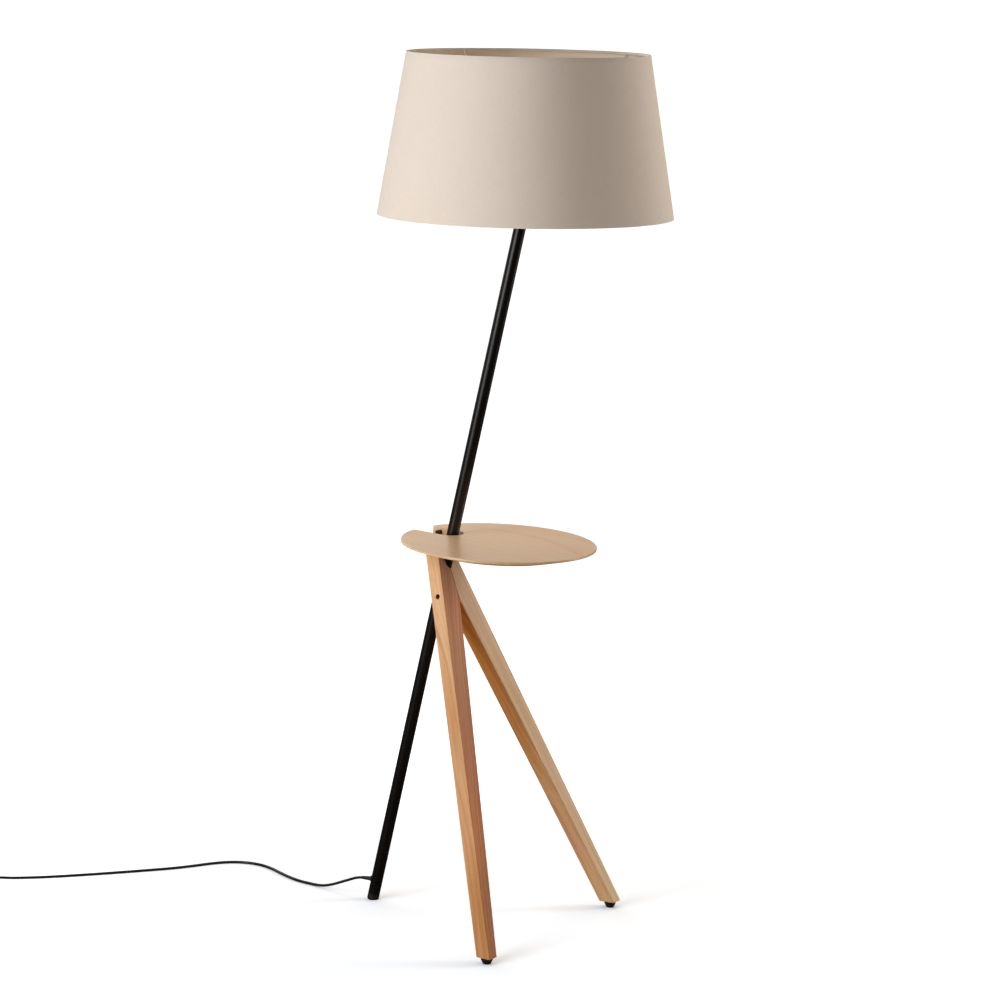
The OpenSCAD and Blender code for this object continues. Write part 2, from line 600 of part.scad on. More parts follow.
pole_tube();
pole_foot_cap();
pole_top_elbow();
inner_cable();
cord_grommet();
cord_strain_relief();
near_leg();
far_leg();
leg_dowels();
leg_bolt();
leg_bolt_nut();
glide_inserts();
near_glide_stud();
near_glide_pad();
far_glide_stud();
far_glide_pad();
tabletop();
table_bracket();
table_wood_screws();
bracket_leg_screws();
bracket_grub_screws();
slot_spacers();
lampholder_nipple();
nipple_locknut();
lampholder_cap();
lampholder_body();
lampholder_thread();
lampholder_contact();
shade_ring();
shade_spider();
shade_top_ring();
shade_bottom_ring();
shade_fabric();
shade_liner();
bulb_contact();
bulb_screw_cap();
bulb_glass();
cord_lead();
cord_tail();
cord_coil();
coil_tie();
switch_base();
switch_cover();
switch_pedal();
switch_contacts();
switch_screws();
plug_body();
plug_pins();
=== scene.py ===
import bpy, bmesh, math
from mathutils import Vector, Matrix


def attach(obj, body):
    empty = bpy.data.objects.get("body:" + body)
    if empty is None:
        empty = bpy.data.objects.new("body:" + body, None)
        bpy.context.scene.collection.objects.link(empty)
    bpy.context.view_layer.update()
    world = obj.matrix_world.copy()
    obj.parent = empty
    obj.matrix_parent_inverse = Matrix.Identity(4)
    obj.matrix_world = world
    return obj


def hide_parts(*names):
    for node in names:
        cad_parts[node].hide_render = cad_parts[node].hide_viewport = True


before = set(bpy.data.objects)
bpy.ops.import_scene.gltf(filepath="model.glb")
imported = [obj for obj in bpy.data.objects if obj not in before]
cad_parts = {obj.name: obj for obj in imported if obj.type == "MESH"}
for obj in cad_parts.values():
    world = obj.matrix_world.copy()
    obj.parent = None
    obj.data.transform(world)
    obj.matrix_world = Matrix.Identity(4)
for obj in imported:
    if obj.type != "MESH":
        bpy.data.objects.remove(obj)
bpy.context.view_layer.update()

XM = 265.9            # the pole's foot to the middle of the lamp, mm
LEAN = math.radians(13)
RAKE = math.radians(20.8)


def P(x, y, z):
    """A point laid out in mm from the pole's foot, in the row's frame."""
    return Vector(((x - XM) / 1000, y / 1000, z / 1000))


# ---------------------------------------------------------------- camera
az, dist, high = math.radians(34.037), 5.829567, 1.714568
yaw, pitch, roll = math.radians(-2.112), math.radians(9.624), math.radians(1.091)
b = az + yaw
fwd = Vector((-math.sin(b) * math.cos(pitch), math.cos(b) * math.cos(pitch), -math.sin(pitch)))
right = Vector((math.cos(b), math.sin(b), 0))
upv = right.cross(fwd)
right2 = math.cos(roll) * right + math.sin(roll) * upv
up2 = -math.sin(roll) * right + math.cos(roll) * upv
cam = bpy.data.objects.new("camera", bpy.data.cameras.new("camera"))
bpy.context.collection.objects.link(cam)
cam.data.sensor_width = 36
cam.data.lens = 3374.703 / 1000 * 36
cam.data.clip_start, cam.data.clip_end = 0.1, 400
cam.data.shift_x = -0.0006
spot = Vector((dist * math.sin(az) - XM / 1000, -dist * math.cos(az), high))
m = Matrix((right2, up2, -fwd)).transposed().to_4x4()
m.translation = spot
cam.matrix_world = m
bpy.context.scene.camera = cam


# ---------------------------------------------------------------- helpers
def link(o):
    bpy.context.collection.objects.link(o)
    return o


def mesh_object(name, bm):
    me = bpy.data.meshes.new(name)
    bm.normal_update()
    bm.to_mesh(me)
    bm.free()
    return link(bpy.data.objects.new(name, me))


def smooth_by_angle(o, deg=35):
    me = o.data
    for p in me.polygons:
        p.use_smooth = True
    me.update()
    bm = bmesh.new()
    bm.from_mesh(me)
    lim = math.radians(deg)
    for ed in bm.edges:
        if len(ed.link_faces) == 2:
            ed.smooth = ed.calc_face_angle(0) < lim
        else:
            ed.smooth = False
    bm.to_mesh(me)
    bm.free()


def apply_modifiers(o):
    dg = bpy.context.evaluated_depsgraph_get()
    me = bpy.data.meshes.new_from_object(o.evaluated_get(dg))
    o.modifiers.clear()
    old = o.data
    o.data = me
    bpy.data.meshes.remove(old)


def cylinder(name, a, c, r, n=48):
    """A closed cylinder from point a to point c."""
    bm = bmesh.new()
    d = c - a
    rot = d.to_track_quat("Z", "Y").to_matrix().to_4x4()
    bmesh.ops.create_cone(bm, cap_ends=True, segments=n, radius1=r, radius2=r, depth=d.length,
                          matrix=Matrix.Translation((a + c) / 2) @ rot)
    return mesh_object(name, bm)


def cut(o, tool, op="DIFFERENCE"):
    md = o.modifiers.new("cut", "BOOLEAN")
    md.operation, md.object, md.solver = op, tool, "EXACT"
    apply_modifiers(o)
    bpy.data.objects.remove(tool)


def flat_sides(o, least):
    """Keeps each large plane face flat, so that the soft arrises round it don't bend the light on it."""
    for p in o.data.polygons:
        if p.area > least:
            p.use_smooth = False


def vector_attribute(o, name, fn):
    at = o.data.attributes.new(name, "FLOAT_VECTOR", "POINT")
    for i, v in enumerate(o.data.vertices):
        at.data[i].vector = fn(v.co)


def revolve(name, profile, n, centre, close=True, arc=None):
    """Profile of (r, z) in metres, turned about the vertical through centre."""
    bm = bmesh.new()
    rings = []
    for k in range(n):
        t = 2 * math.pi * k / n
        rings.append([bm.verts.new((centre[0] + r * math.cos(t), centre[1] + r * math.sin(t), z)) for r, z in profile])
    m = len(profile)
    for k in range(n):
        q = rings[(k + 1) % n]
        for i in range(m if close else m - 1):
            j = (i + 1) % m
            bm.faces.new((rings[k][i], q[i], q[j], rings[k][j]))
    bmesh.ops.recalc_face_normals(bm, faces=bm.faces)
    return mesh_object(name, bm)


def catmull(p0, p1, p2, p3, t):
    return 0.5 * ((2 * p1) + (p2 - p0) * t + (2 * p0 - 5 * p1 + 4 * p2 - p3) * t * t
                  + (3 * p1 - p0 - 3 * p2 + p3) * t * t * t)


def through(pts, n):
    out = []
    g = lambda i: pts[max(0, min(len(pts) - 1, i))]
    for i in range(len(pts) - 1):
        for k in range(n):
            out.append(catmull(g(i - 1), g(i), g(i + 1), g(i + 2), k / n))
    out.append(pts[-1].copy())
    return out


# ---------------------------------------------------------------- the cord
FZ = 2.6
LEAD = [(-23, 0, 35.4), (-36, 0, 32.6), (-50, 0, 27.2), (-70, 0.5, 18.8), (-90, 1.5, 10.8),
        (-110, 3.5, 5), (-132, 6, FZ), (-165, 9, FZ), (-195, 18, FZ), (-225, 31, FZ),
        (-255, 45, FZ), (-285, 53, FZ), (-314, 51, FZ), (-341, 37, FZ), (-363, 11, FZ),
        (-381, -22, FZ), (-402, -57, FZ), (-430, -94, FZ), (-465, -138, FZ),
        (-505, -186, FZ), (-550, -236, FZ), (-590, -277, 3.6), (-610, -297, 5.4), (-623, -310, 6)]
TAIL = [(-661, -348, 6), (-665, -352, 5), (-669, -356, 4.1), (-673, -360, 3.5)]
COIL = (-707, -346)
PLUG = [(-741, -334, 8.4), (-741, -326, 7.8), (-741, -319, 6.9)]


def ease(t):
    t = max(0.0, min(1.0, t))
    return t * t * (3 - 2 * t)


def coil_r_z(t):
    """Radius and height of the coil's line after t turns, in mm."""
    if t < 2.6:
        r = 34 - 5 * ease((t - 0.82) / 0.18) - 5 * ease((t - 1.82) / 0.18)
    else:
        r = 24 + 5 * ease((t - 3.32) / 0.18) + 5 * ease((t - 4.32) / 0.18)
    z = 3.4 + 5 * ease((t - 2.53) / 0.2)
    return r, z


cord_pts = [Vector(p) for p in LEAD]
cord_pts += [Vector((-642, -329, 6))]
cord_pts += [Vector(p) for p in TAIL]
line = through(cord_pts, 5)
turns = 5.375
count = 170
for k in range(count + 1):
    t = turns * k / count
    r, z = coil_r_z(t)
    a = math.radians(-45 - 360 * t)
    line.append(Vector((COIL[0] + r * math.cos(a), COIL[1] + r * math.sin(a), z)))
line += through([Vector(p) for p in PLUG], 3)
for p in line:
    p.z = max(p.z, 2.55)
line = [P(*p) for p in line]
# even out points that are very close together
kept = [line[0]]
for p in line[1:]:
    if (p - kept[-1]).length > 0.0016:
        kept.append(p)
kept[-1] = line[-1]
line = kept
cu = bpy.data.curves.new("mains_cord", "CURVE")
cu.dimensions = "3D"
sp = cu.splines.new("POLY")
sp.points.add(len(line) - 1)
for q, p in zip(sp.points, line):
    q.co = (p.x, p.y, p.z, 1)
    q.radius = 0.001
cu.bevel_depth = 2.5
cu.bevel_resolution = 4
cu.use_fill_caps = True
cord = link(bpy.data.objects.new("mains_cord", cu))
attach(cord, "lamp")
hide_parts("cord_lead", "cord_tail", "cord_coil")


# ---------------------------------------------------------------- materials
def srgb(r, g, bl):
    f = lambda c: (c / 255) / 12.92 if c / 255 <= 0.04045 else (((c / 255) + 0.055) / 1.055) ** 2.4
    return (f(r), f(g), f(bl), 1.0)


class Mat:
    def __init__(self, name, base, rough=0.5, metallic=0.0, spec=0.5, coat=0.0, coat_rough=0.1, sheen=0.0):
        self.m = bpy.data.materials.new(name)
        self.m.use_nodes = True
        self.nt = self.m.node_tree
        self.p = next(n for n in self.nt.nodes if n.type == "BSDF_PRINCIPLED")
        self.p.inputs["Base Color"].default_value = base
        self.p.inputs["Roughness"].default_value = rough
        self.p.inputs["Metallic"].default_value = metallic
        self.p.inputs["Specular IOR Level"].default_value = spec
        self.p.inputs["Coat Weight"].default_value = coat
        self.p.inputs["Coat Roughness"].default_value = coat_rough
        self.p.inputs["Sheen Weight"].default_value = sheen
        self.base = base

    def node(self, kind, **inputs):
        n = self.nt.nodes.new(kind)
        for k, v in inputs.items():
            if k in n.inputs:
                n.inputs[k].default_value = v
            else:
                setattr(n, k, v)
        return n

    def wire(self, a, b_):
        self.nt.links.new(a, b_)

    def coords(self, kind="Object", scale=(1, 1, 1), attribute=None):
        if attribute:
            s = self.node("ShaderNodeAttribute", attribute_name=attribute)
            out = s.outputs["Vector"]
        else:
            s = self.node("ShaderNodeTexCoord")
            out = s.outputs[kind]
        mp = self.node("ShaderNodeMapping")
        mp.inputs["Scale"].default_value = scale
        self.wire(out, mp.inputs["Vector"])
        return mp.outputs["Vector"]

    def noise(self, vec, scale, detail=3, rough=0.5, distortion=0.0):
        n = self.node("ShaderNodeTexNoise")
        n.inputs["Scale"].default_value = scale
        n.inputs["Detail"].default_value = detail
        n.inputs["Roughness"].default_value = rough
        n.inputs["Distortion"].default_value = distortion
        self.wire(vec, n.inputs["Vector"])
        return n.outputs["Fac"]

    def ramp(self, fac, stops):
        n = self.node("ShaderNodeValToRGB")
        el = n.color_ramp.elements
        while len(el) > 2:
            el.remove(el[-1])
        el[0].position, el[0].color = stops[0]
        el[1].position, el[1].color = stops[-1]
        for pos, col in stops[1:-1]:
            x = el.new(pos)
            x.color = col
        self.wire(fac, n.inputs["Fac"])
        return n.outputs["Color"]

    def mix(self, fac, a, c, kind="MIX"):
        n = self.node("ShaderNodeMix", data_type="RGBA", blend_type=kind)
        for sock, v in ((n.inputs[0], fac), (n.inputs[6], a), (n.inputs[7], c)):
            if hasattr(v, "links") or isinstance(v, bpy.types.NodeSocket):
                self.wire(v, sock)
            else:
                sock.default_value = v
        return n.outputs[2]

    def math(self, op, a, c=0.0, clamp=False):
        n = self.node("ShaderNodeMath", operation=op, use_clamp=clamp)
        for sock, v in ((n.inputs[0], a), (n.inputs[1], c)):
            if isinstance(v, bpy.types.NodeSocket):
                self.wire(v, sock)
            else:
                sock.default_value = v
        return n.outputs[0]

    def bump(self, height, strength, distance):
        n = self.node("ShaderNodeBump")
        n.inputs["Strength"].default_value = strength
        n.inputs["Distance"].default_value = distance
        self.wire(height, n.inputs["Height"])
        self.wire(n.outputs["Normal"], self.p.inputs["Normal"])

    def color(self, sock):
        self.wire(sock, self.p.inputs["Base Color"])

    def rough(self, sock):
        self.wire(sock, self.p.inputs["Roughness"])


def grey(v):
    return (v, v, v, 1)


def tint(c, k):
    return (c[0] * k, c[1] * k, c[2] * k, 1)


def plain(name, base, rough, metallic=0.0, spec=0.5, grain=900.0, amount=0.12, depth=0.00004, strength=0.35):
    """A moulded or metal surface: a fine grain, and roughness and colour that vary a little."""
    k = Mat(name, base, rough, metallic, spec)
    v = k.coords()
    big = k.noise(v, 18, 2)
    fine = k.noise(v, grain, 2)
    k.color(k.mix(big, tint(base, 1 - amount), tint(base, 1 + amount)))
    r = k.math("MULTIPLY_ADD", big, 0.12)
    r.node.inputs[2].default_value = rough - 0.06
    k.rough(r)
    k.bump(fine, strength, depth)
    return k.m


def wood(name, pale, deep, line, rough, attr, ring=260.0, contrast=0.5, fleck=0.35, coat=0.0, coat_rough=0.2, shift=0.0, tone=False, spec=0.5):
    """Straight-grained timber. The attribute holds metres: x along the grain, y across, z through."""
    k = Mat(name, pale, rough, spec=spec, coat=coat, coat_rough=coat_rough)
    v = k.coords(attribute=attr)
    # slow wander of the grain
    slow = k.noise(k.coords(attribute=attr, scale=(2.2, 9, 9)), 1.0, 2, 0.5)
    sep = k.node("ShaderNodeSeparateXYZ")
    k.wire(v, sep.inputs[0])
    wander = k.math("MULTIPLY", k.math("SUBTRACT", slow, 0.5), 0.05)
    across = k.math("ADD", k.math("ADD", sep.outputs[1], k.math("MULTIPLY", sep.outputs[2], 0.45)), wander)
    across = k.math("ADD", across, shift)
    comb = k.node("ShaderNodeCombineXYZ")
    k.wire(k.math("MULTIPLY", sep.outputs[0], 0.35), comb.inputs[0])
    k.wire(k.math("MULTIPLY", across, 40.0), comb.inputs[1])
    k.wire(sep.outputs[2], comb.inputs[2])
    figure = k.noise(comb.outputs[0], 2.2, 3, 0.55)                 # broad tone bands
    comb2 = k.node("ShaderNodeCombineXYZ")
    k.wire(k.math("MULTIPLY", sep.outputs[0], 1.2), comb2.inputs[0])
    k.wire(k.math("MULTIPLY", across, ring), comb2.inputs[1])
    k.wire(k.math("MULTIPLY", sep.outputs[2], 30.0), comb2.inputs[2])
    rings = k.noise(comb2.outputs[0], 1.0, 2, 0.6)                   # growth lines
    pores = k.noise(k.coords(attribute=attr, scale=(45, 1900, 1900)), 1.0, 2, 0.6)
    c = k.mix(k.ramp(figure, [(0.3, grey(0)), (0.72, grey(1))]), pale, deep)
    c = k.mix(k.math("MULTIPLY", k.ramp(rings, [(0.42, grey(0)), (0.66, grey(1))]), contrast), c, line)
    c = k.mix(k.math("MULTIPLY", k.ramp(pores, [(0.56, grey(0)), (0.72, grey(1))]), fleck), c, tint(line, 0.8))
    if tone:
        flame = k.noise(k.coords(attribute=attr, scale=(5.5, 85, 85)), 1.0, 3, 0.6)
        c = k.mix(k.math("MULTIPLY", k.ramp(flame, [(0.5, grey(0)), (0.64, grey(1))]), 0.55), c, (0.86, 0.79, 0.70, 1), "MULTIPLY")
        # each face multiplied by its painted light and shade, held in the tone attribute
        c = k.mix(1.0, c, k.node("ShaderNodeAttribute", attribute_name="tone").outputs["Color"], "MULTIPLY")
    k.color(c)
    r = k.math("MULTIPLY_ADD", rings, 0.16)
    r.node.inputs[2].default_value = rough - 0.06
    k.rough(r)
    k.bump(k.math("SUBTRACT", k.math("MULTIPLY", rings, 0.4), k.math("MULTIPLY", pores, 0.8)), 0.35, 0.00012)
    return k


leg_pale, leg_deep, leg_line = srgb(226, 176, 130), srgb(206, 148, 100), srgb(176, 112, 66)
near_wood = wood("oak_near_leg", leg_pale, leg_deep, leg_line, 0.5, "grain", ring=300, contrast=0.5, fleck=0.34, tone=True, spec=0.26)
# the far leg's copy of the oak is a little lighter than the near leg's: painted light
far_wood = wood("oak_far_leg", srgb(228, 182, 138), srgb(208, 154, 106), srgb(178, 118, 72), 0.46, "grain", ring=280,
                contrast=0.5, fleck=0.34, shift=0.31, tone=True, spec=0.4)
top_wood = wood("oak_tabletop", srgb(236, 206, 167), srgb(227, 193, 153), srgb(203, 158, 117), 0.3, "grain", ring=130,
                contrast=0.3, fleck=0.25, coat=0.25, coat_rough=0.3, shift=0.12)

black_paint = plain("black_paint", (0.0042, 0.0034, 0.0030, 1), 0.3, spec=0.42, grain=2600, depth=0.00003, strength=0.3)
black_plastic = plain("black_plastic", (0.013, 0.011, 0.0105, 1), 0.5, grain=2200)
black_rubber = plain("black_rubber", (0.014, 0.012, 0.011, 1), 0.62, grain=1600, depth=0.00006)
cord_skin = plain("cord_sheath", (0.011, 0.010, 0.0095, 1), 0.42, grain=1200, depth=0.00004)
zinc = plain("zinc_steel", (0.55, 0.56, 0.57, 1), 0.3, metallic=1.0, grain=1500)
brass = plain("brass", (0.72, 0.52, 0.24, 1), 0.28, metallic=1.0, grain=1500)
nickel = plain("nickel", (0.66, 0.65, 0.62, 1), 0.22, metallic=1.0, grain=1500)
bronze = plain("bronzed_steel", (0.085, 0.04, 0.026, 1), 0.42, metallic=0.8, grain=1200)
black_oxide = plain("black_oxide", (0.045, 0.045, 0.048, 1), 0.38, metallic=1.0, grain=1500)
white_wire = plain("white_wire", (0.70, 0.68, 0.64, 1), 0.45, grain=1500)
white_pvc = plain("white_pvc", (0.6, 0.6, 0.57, 1), 0.5, grain=1200)
cap_metal = plain("bulb_cap", (0.68, 0.68, 0.66, 1), 0.34, metallic=1.0, grain=900)
spacer_mat = plain("spacer_rubber", (0.03, 0.018, 0.013, 1), 0.6, grain=1600)
dowel_mat = plain("dowel", srgb(206, 166, 118), 0.6, grain=500)
opal = Mat("opal_glass", (0.86, 0.85, 0.81, 1), 0.16, spec=0.5, coat=0.4, coat_rough=0.06)
opal.p.inputs["Subsurface Weight"].default_value = 0.15
opal.p.inputs["Subsurface Radius"].default_value = (0.004, 0.004, 0.004)
ov = opal.coords()
opal.color(opal.mix(opal.noise(ov, 30, 2), (0.84, 0.83, 0.79, 1), (0.88, 0.87, 0.83, 1)))


def linen():
    """Fine plain weave laid on a backing. The attribute holds metres round and up the shade."""
    k = Mat("shade_linen", srgb(237, 228, 217), 0.86, spec=0.25, sheen=0.25)
    k.p.inputs["Sheen Roughness"].default_value = 0.5
    warp = k.noise(k.coords(attribute="weave", scale=(1450, 60, 1)), 1.0, 2, 0.5)
    weft = k.noise(k.coords(attribute="weave", scale=(60, 1450, 1)), 1.0, 2, 0.5)
    cloud = k.noise(k.coords(attribute="weave", scale=(9, 9, 1)), 1.0, 2, 0.5)
    sep = k.node("ShaderNodeSeparateXYZ")
    k.wire(k.coords(attribute="weave"), sep.inputs[0])
    wx = k.math("SINE", k.math("MULTIPLY", sep.outputs[0], 2 * math.pi / 0.00062))
    wy = k.math("SINE", k.math("MULTIPLY", sep.outputs[1], 2 * math.pi / 0.00062))
    threads = k.math("MULTIPLY", wx, wy)
    both = k.math("MULTIPLY", k.math("ADD", warp, weft), 0.5)
    c = k.mix(k.ramp(both, [(0.36, grey(0)), (0.64, grey(1))]), srgb(232, 221, 210), srgb(239, 230, 220))
    c = k.mix(k.math("MULTIPLY", cloud, 0.22), c, srgb(226, 213, 201))
    k.color(c)
    h = k.math("ADD", k.math("MULTIPLY", threads, 0.35), both)
    k.bump(h, 0.4, 0.0001)
    return k.m


linen_mat = linen()
liner = Mat("shade_liner", srgb(236, 226, 210), 0.7, spec=0.3)
lv = liner.coords()
liner.color(liner.mix(liner.noise(lv, 14, 2), srgb(232, 220, 202), srgb(240, 231, 216)))
liner.bump(liner.noise(lv, 900, 2), 0.2, 0.00005)

CAD_LOOKS = {
    "pole_tube": black_paint, "pole_foot_cap": black_plastic, "pole_top_elbow": black_paint,
    "inner_cable": white_pvc, "cord_grommet": black_rubber, "cord_strain_relief": black_rubber,
    "leg_dowels": dowel_mat, "leg_bolt": bronze, "leg_bolt_nut": bronze, "glide_inserts": brass,
    "near_glide_stud": zinc, "near_glide_pad": black_rubber, "far_glide_stud": zinc, "far_glide_pad": black_rubber,
    "table_bracket": black_paint, "table_wood_screws": zinc, "bracket_leg_screws": black_oxide,
    "bracket_grub_screws": black_oxide, "slot_spacers": spacer_mat, "lampholder_nipple": brass,
    "nipple_locknut": brass, "lampholder_cap": black_plastic, "lampholder_body": black_plastic,
    "lampholder_thread": brass, "lampholder_contact": brass, "shade_ring": black_plastic,
    "shade_spider": white_wire, "shade_top_ring": white_wire, "shade_bottom_ring": white_wire,
    "shade_liner": liner.m, "bulb_contact": brass, "bulb_screw_cap": cap_metal, "bulb_glass": opal.m,
    "coil_tie": black_plastic, "switch_base": black_plastic, "switch_cover": black_plastic,
    "switch_pedal": black_rubber, "switch_contacts": brass, "switch_screws": zinc,
    "plug_body": black_plastic, "plug_pins": nickel,
}
for name, material in CAD_LOOKS.items():
    o = bpy.data.objects[name]
    for s in o.material_slots:
        s.material = material
    if not o.material_slots:
        o.data.materials.append(material)
cord.data.materials.append(cord_skin)


# ---------------------------------------------------------------- legs
LEG_REACH, LEG_T = 389.0, 26.5
LEG_OUT, LEG_IN, CROTCH_Z, CROTCH_OUT = 222.0, 199.0, 565.0, 49.5
GAP, TOP = 11.0, 671.0
ca, sa = math.cos(RAKE), math.sin(RAKE)


def leg_point(y, q, w):
    """y across, q up the rake, w out of the front face."""
    return P(LEG_REACH - q * sa + w * ca, y, q * ca + w * sa)


def out_at(z):
    return LEG_OUT - (LEG_OUT - CROTCH_OUT) / CROTCH_Z * z


# painted light and shade on each face of the legs, from the foot to the head: height in mm, then red, green, blue
FACE_LIGHT_AND_SHADE = {
    (-1, "outer"): [(30, 0.93, 0.87, 0.67), (120, 0.92, 0.86, 0.65), (200, 1.08, 1.11, 1.15), (300, 1.10, 1.24, 1.33),
                    (400, 1.06, 1.09, 1.01), (500, 1.18, 1.41, 1.57), (600, 1.26, 1.52, 1.90), (650, 1.04, 1.25, 1.31)],
    (-1, "front"): [(30, 0.75, 0.49, 0.15), (120, 0.78, 0.53, 0.155), (200, 0.96, 0.66, 0.215), (300, 0.92, 0.59, 0.345),
                    (400, 0.85, 0.66, 0.48), (500, 0.92, 0.79, 0.69), (560, 0.835, 0.655, 0.54), (600, 0.70, 0.60, 0.51)],
    (-1, "inner"): [(30, 0.95, 0.92, 0.8), (300, 0.96, 0.92, 0.8), (600, 0.95, 0.88, 0.72)],
    (-1, "back"): [(30, 0.92, 0.88, 0.76), (600, 0.98, 0.96, 0.88)],
    (1, "inner"): [(30, 1.28, 1.58, 1.8), (60, 1.28, 1.55, 1.75), (120, 1.16, 1.24, 1.52), (200, 1.08, 1.24, 1.36),
                   (300, 0.89, 0.81, 0.56), (400, 0.84, 0.66, 0.39), (500, 0.93, 0.73, 0.30), (600, 0.93, 0.73, 0.30)],
    (1, "front"): [(30, 1.15, 1.53, 1.66), (120, 1.10, 1.35, 1.40), (200, 1.055, 1.26, 1.45), (300, 1.03, 1.23, 1.30),
                   (400, 0.94, 1.08, 1.02), (500, 0.97, 1.18, 1.22), (560, 0.92, 1.06, 1.17), (600, 0.89, 0.99, 1.07)],
    (1, "outer"): [(30, 1.0, 1.06, 1.05), (600, 1.02, 1.08, 1.08)],
    (1, "back"): [(30, 0.95, 0.94, 0.86), (600, 0.98, 0.98, 0.92)],
}


# paints light and shade into each face's colour, held in the tone attribute
def paint_face_light_and_shade(o, side):
    way = {"front": Vector((ca, 0, sa)), "back": Vector((-ca, 0, -sa)), "outer": Vector((0, side, 0)), "inner": Vector((0, -side, 0))}

    def at_height(rows, z):
        if z <= rows[0][0]:
            return rows[0][1:]
        for a_, b_ in zip(rows, rows[1:]):
            if z <= b_[0]:
                f = (z - a_[0]) / (b_[0] - a_[0])
                return [p + (q_ - p) * f for p, q_ in zip(a_[1:], b_[1:])]
        return rows[-1][1:]

    me = o.data
    at = me.attributes.new("tone", "FLOAT_COLOR", "CORNER")
    for poly in me.polygons:
        w = {k: max(0.0, poly.normal.dot(v)) ** 6 + 1e-4 for k, v in way.items()}
        s = sum(w.values())
        for li in poly.loop_indices:
            z = me.vertices[me.loops[li].vertex_index].co.z * 1000
            c = [0.0, 0.0, 0.0]
            for k, wk in w.items():
                t = at_height(FACE_LIGHT_AND_SHADE[(side, k)], z)
                for i in range(3):
                    c[i] += t[i] * wk / s
            if abs(poly.center.y) < 0.0006:
                c = [0.2 * i for i in c]                # painted shade in the fine line of the joint
            elif max(w.values()) < 0.9 * s:
                c = [1.12 * i for i in c]               # painted highlight on the eased arrises
            at.data[li].color = (c[0], c[1], c[2], 1)


def leg(side, name, node, material):
    zq = lambda z: z / ca
    z_low, z_high = -40, TOP + 25
    k_in = LEG_IN / CROTCH_Z
    outline = [(-out_at(z_low), zq(z_low)), (-(LEG_IN - k_in * z_low), zq(z_low)), (0, zq(CROTCH_Z)),
               (0, zq(z_high)), (-out_at(z_high), zq(z_high))]
    bm = bmesh.new()
    front = [bm.verts.new(leg_point(y * -side, q, 0)) for y, q in outline]
    back = [bm.verts.new(leg_point(y * -side, q, -LEG_T)) for y, q in outline]
    bm.faces.new(front)
    bm.faces.new(list(reversed(back)))
    n = len(outline)
    for i in range(n):
        j = (i + 1) % n
        bm.faces.new((front[i], back[i], back[j], front[j]))
    bmesh.ops.recalc_face_normals(bm, faces=bm.faces)
    for co, no in ((P(0, 0, GAP), Vector((0, 0, -1))), (P(0, 0, TOP), Vector((0, 0, 1)))):
        r = bmesh.ops.bisect_plane(bm, geom=bm.verts[:] + bm.edges[:] + bm.faces[:], plane_co=co, plane_no=no,
                                   clear_outer=True, clear_inner=False)
        edges = [g for g in r["geom_cut"] if isinstance(g, bmesh.types.BMEdge)]
        bmesh.ops.holes_fill(bm, edges=edges, sides=0)
    bmesh.ops.recalc_face_normals(bm, faces=bm.faces)
    # rings of points up the leg, to carry the painted light and shade that changes up it
    for z in range(30, 660, 45):
        bmesh.ops.bisect_plane(bm, geom=bm.verts[:] + bm.edges[:] + bm.faces[:], plane_co=P(0, 0, z), plane_no=Vector((0, 0, 1)))
    # ease every arris but those of the joint between the two legs
    arris = [ed for ed in bm.edges if len(ed.link_faces) == 2 and ed.calc_face_angle(0) > 0.15
             and not all(abs(v.co.y) < 1e-5 for v in ed.verts)]
    bmesh.ops.bevel(bm, geom=arris, offset=0.0013, segments=3, profile=0.5, affect="EDGES", clamp_overlap=True)
    # and those of the joint only just, so that it reads as a fine dark line
    joint = [ed for ed in bm.edges if len(ed.link_faces) == 2 and ed.calc_face_angle(0) > 0.6
             and all(abs(v.co.y) < 1e-5 for v in ed.verts)]
    bmesh.ops.bevel(bm, geom=joint, offset=0.0005, segments=1, profile=0.5, affect="EDGES", clamp_overlap=True)
    o = mesh_object(name, bm)
    # the pole's channel, the bolt's hole and recess, and the glide's hole
    s = Vector((math.sin(LEAN), 0, math.cos(LEAN)))
    a = P(0, 0, 0) + s * 0.52
    cut(o, cylinder("tool", a, a + s * 0.2, 0.01062, 72))
    bx = LEG_REACH - math.tan(RAKE) * 576 - LEG_T / ca / 2 + 1
    cut(o, cylinder("tool", P(bx, side * -2, 576), P(bx, side * 90, 576), 0.0026))
    depth = 32 if side < 0 else 24
    rec = 0.0044 if side < 0 else 0.00415
    cut(o, cylinder("tool", P(bx, side * depth, 576), P(bx, side * 90, 576), rec))
    ys = out_at(576)
    gx, gy = 371, 205 * side
    cut(o, cylinder("tool", P(gx, gy, 0), P(gx, gy, 25.05), 0.00505))
    cut(o, cylinder("tool", P(gx, gy, 20), P(gx, gy, 29), 0.00405))
    smooth_by_angle(o, 32)
    # grain along the leg
    foot = leg_point(side * 211, 0, -LEG_T / 2)
    head = leg_point(side * 26, CROTCH_Z / ca, -LEG_T / 2)
    along = (head - foot).normalized()
    normal = Vector((ca, 0, sa))
    across = normal.cross(along).normalized()
    vector_attribute(o, "grain", lambda c: ((c - foot).dot(along), (c - foot).dot(across), (c - foot).dot(normal)))
    paint_face_light_and_shade(o, side)
    flat_sides(o, 1e-4)
    o.data.materials.append(material)
    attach(o, "lamp")
    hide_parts(node)
    return o


near = leg(-1, "near_leg_oak", "near_leg", near_wood.m)
far = leg(1, "far_leg_oak", "far_leg", far_wood.m)

# ---------------------------------------------------------------- tabletop
TR, TT, RIM, BEV = 168.0, 16.0, 4.0, 46.0
OFF, SL, SEND = 99.5, 25.0, 17.5
T = (Matrix.Translation(P(681 * math.tan(LEAN), 0, 681)) @ Matrix.Rotation(math.radians(2), 4, "Y")
     @ Matrix.Rotation(math.radians(-4.6), 4, "Z"))


